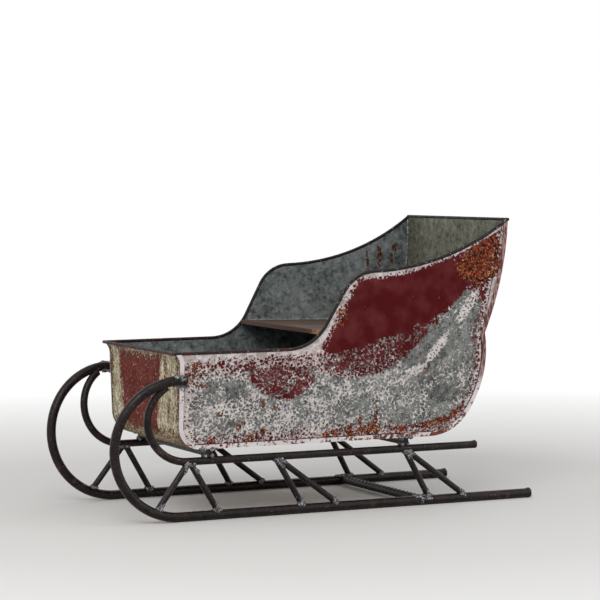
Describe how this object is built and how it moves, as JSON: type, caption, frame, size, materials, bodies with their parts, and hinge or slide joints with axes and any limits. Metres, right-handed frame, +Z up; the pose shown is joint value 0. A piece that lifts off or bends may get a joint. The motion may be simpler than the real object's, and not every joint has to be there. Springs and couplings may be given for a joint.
{
  "type": "decorative metal sleigh",
  "caption": "Small sheet-metal sleigh with an open tub, a seat and a swept back, welded to curled round-bar runners with upper rails and slanted braces.",
  "frame": {"origin": "on the ground, under the middle of the sleigh's length and width", "axes": "+Z up, the curled front towards -X and the seat's back towards +X, the sleigh's left side at -Y"},
  "size_m": [0.484, 0.2356, 0.3049],
  "materials": {
    "side_paint": "worn paint over zinc",
    "front_paint": "worn paint over zinc",
    "seam_paint": "worn paint",
    "zinc": "galvanised, dull",
    "rim_wire": "worn dark paint",
    "seat_metal": "aged brown",
    "frame_bar": "dark satin, rusty ends",
    "ribbed_bar": "dark ribbed bar"
  },
  "bodies": {
    "root": {"back_panel": "zinc", "brace_1_front_left": "frame_bar", "brace_1_front_right": "frame_bar", "brace_1_rear_left": "frame_bar", "brace_1_rear_right": "frame_bar", "brace_2_front_left": "frame_bar", "brace_2_front_right": "frame_bar", "brace_2_rear_left": "frame_bar", "brace_2_rear_right": "frame_bar", "brace_3_front_left": "frame_bar", "brace_3_front_right": "frame_bar", "brace_3_rear_left": "frame_bar", "brace_3_rear_right": "frame_bar", "cross_rod_front": "frame_bar", "cross_rod_rear": "frame_bar", "floor_pan": "zinc", "front_panel": "front_paint", "rail_left": "frame_bar", "rail_right": "frame_bar", "rear_bulge": "zinc", "rim_front": "rim_wire", "rim_left": "rim_wire", "rim_rear": "rim_wire", "rim_right": "rim_wire", "runner_left": "frame_bar", "runner_right": "frame_bar", "seam_left": "seam_paint", "seam_right": "seam_paint", "seat": "seat_metal", "side_panel_left": "side_paint", "side_panel_right": "side_paint", "tie_bar": "ribbed_bar"}
  },
  "joints": []
}
